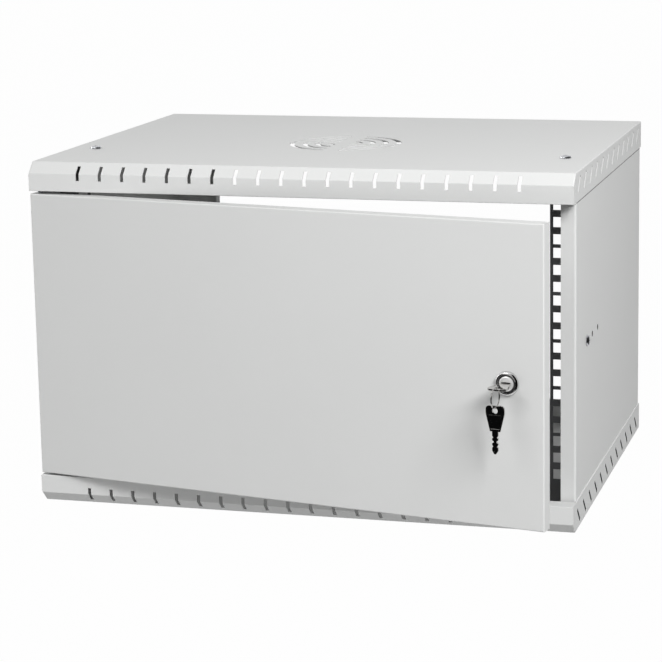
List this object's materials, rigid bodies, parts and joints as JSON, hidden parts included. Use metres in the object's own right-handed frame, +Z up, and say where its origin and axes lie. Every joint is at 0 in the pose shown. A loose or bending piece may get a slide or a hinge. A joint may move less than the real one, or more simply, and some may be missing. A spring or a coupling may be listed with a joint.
{
  "type": "wall mount network cabinet",
  "caption": "Shallow sheet-steel wall cabinet for 19-inch rack equipment, with slotted roof and floor, perforated rack rails and a key-locked hinged front door.",
  "frame": {"origin": "middle of the wall plane, at the centre of the four wall screw holes", "axes": "+Y into the wall, so the door faces -Y; +Z up; +X to the right as seen by someone facing the door"},
  "size_m": [0.5208, 0.5185, 0.3352],
  "materials": {
    "grey_powder": "fine-textured light grey powder coat, satin",
    "rail_powder": "dark grey powder coat, satin",
    "zinc_steel": "bright zinc plating",
    "lock_chrome": "bright chrome on die-cast zinc",
    "key_nickel": "polished nickel on stamped brass",
    "spring_steel": "plain spring steel wire"
  },
  "bodies": {
    "shell": {"roof": "grey_powder", "floor_tray": "grey_powder", "side_panel_right": "grey_powder", "side_panel_left": "grey_powder", "rack_rail_right": "rail_powder", "rack_rail_left": "rail_powder", "panel_screws": "zinc_steel", "panel_nuts": "zinc_steel", "clinch_studs": "zinc_steel"},
    "door": {"door_panel": "grey_powder", "hinge_bracket_upper": "grey_powder", "hinge_bracket_lower": "grey_powder", "hinge_pin_lower": "zinc_steel", "hinge_spring": "spring_steel", "lock_body": "lock_chrome", "lock_nut": "zinc_steel"},
    "upper_pin": {"hinge_pin_upper": "zinc_steel"},
    "plug": {"lock_plug": "lock_chrome", "lock_cam": "zinc_steel", "cam_screw": "zinc_steel"},
    "key": {"key_in_lock": "key_nickel"},
    "ring": {"key_ring": "key_nickel"},
    "spare": {"spare_key": "key_nickel"}
  },
  "joints": [
    {"name": "door_hinge", "type": "hinge", "parent": "shell", "child": "door", "pos_m": [-0.251, -0.392, 0], "axis": [0, 0, -1], "range_deg": [-10, 110]},
    {"name": "upper_pin_retract", "type": "slide", "parent": "door", "child": "upper_pin", "axis": [0, 0, -1], "range_m": [0, 0.0065], "stiffness_N_per_m": 900, "springref_m": -0.004, "deforming": ["hinge_spring"]},
    {"name": "lock_turn", "type": "hinge", "parent": "door", "child": "plug", "pos_m": [0.21553, -0.48157, -0.006], "axis": [0.1736, 0.9848, 0], "range_deg": [0, 90]},
    {"name": "key_withdraw", "type": "slide", "parent": "plug", "child": "key", "axis": [-0.1736, -0.9848, 0], "range_m": [0, 0.025]},
    {"name": "ring_swing", "type": "hinge", "parent": "key", "child": "ring", "pos_m": [0.21069, -0.50905, -0.01289], "axis": [0.9848, -0.1736, 0], "range_deg": [-45, 25]},
    {"name": "spare_key_swing", "type": "hinge", "parent": "ring", "child": "spare", "pos_m": [0.21069, -0.50905, -0.02189], "axis": [0.1736, 0.9848, 0], "range_deg": [-50, 50]}
  ]
}
